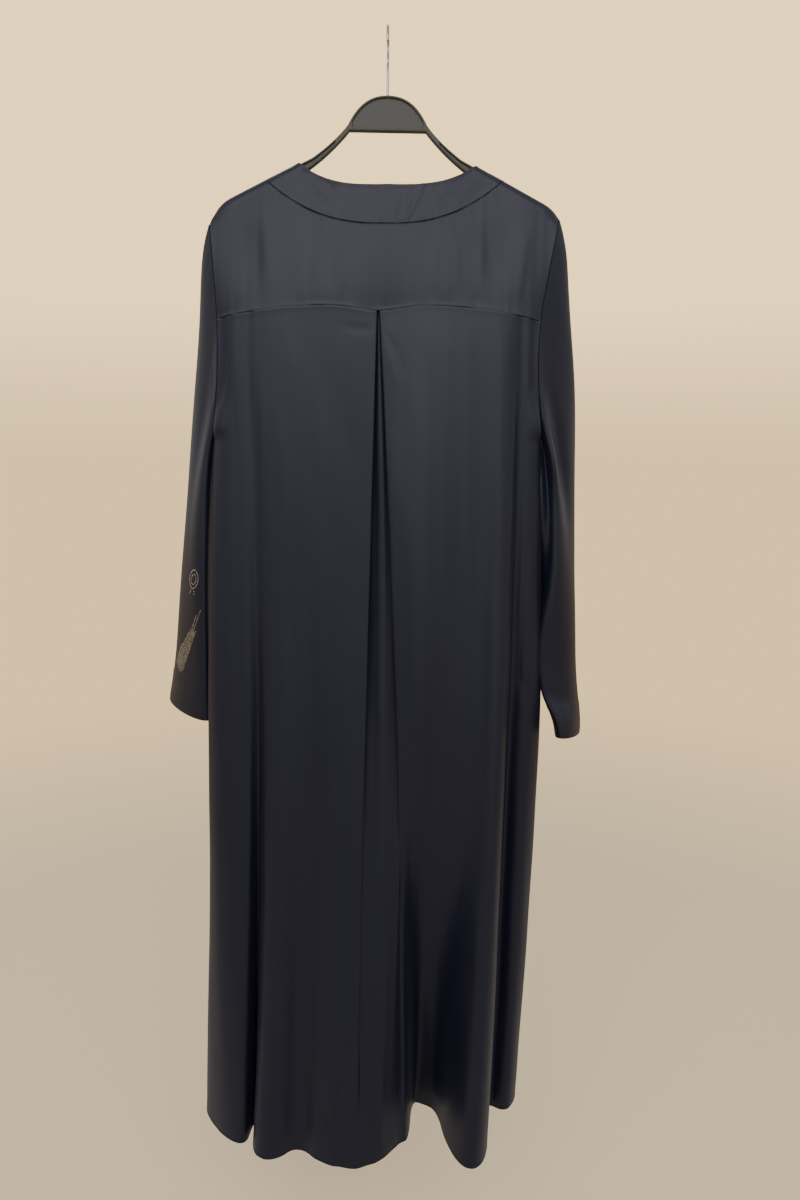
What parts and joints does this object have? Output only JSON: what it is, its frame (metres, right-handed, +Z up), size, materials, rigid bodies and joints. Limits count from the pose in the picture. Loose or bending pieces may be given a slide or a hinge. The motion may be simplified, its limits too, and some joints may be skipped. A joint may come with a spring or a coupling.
{
  "type": "abaya on a clothes hanger",
  "caption": "Full-length open-front satin robe with long sleeves, a back yoke and an inverted box pleat, hanging on a clothes hanger.",
  "frame": {"origin": "inside top of the hanger's hook, where it bears on a rail", "axes": "+Z up, +X to the wearer's right, +Y to the wearer's front"},
  "size_m": [0.625, 0.2136, 1.5603],
  "materials": {
    "satin": "smooth satin with a soft sheen",
    "hanger_plastic": "fine matt",
    "hook_steel": "plain drawn wire"
  },
  "bodies": {
    "root": {"back_yoke": "satin", "back_body": "satin", "back_neckband": "satin", "front_left": "satin", "front_right": "satin", "front_band_left": "satin", "front_band_right": "satin", "sleeve_left": "satin", "sleeve_right": "satin", "hanger_body": "hanger_plastic", "hanger_hook": "hook_steel"}
  },
  "joints": []
}
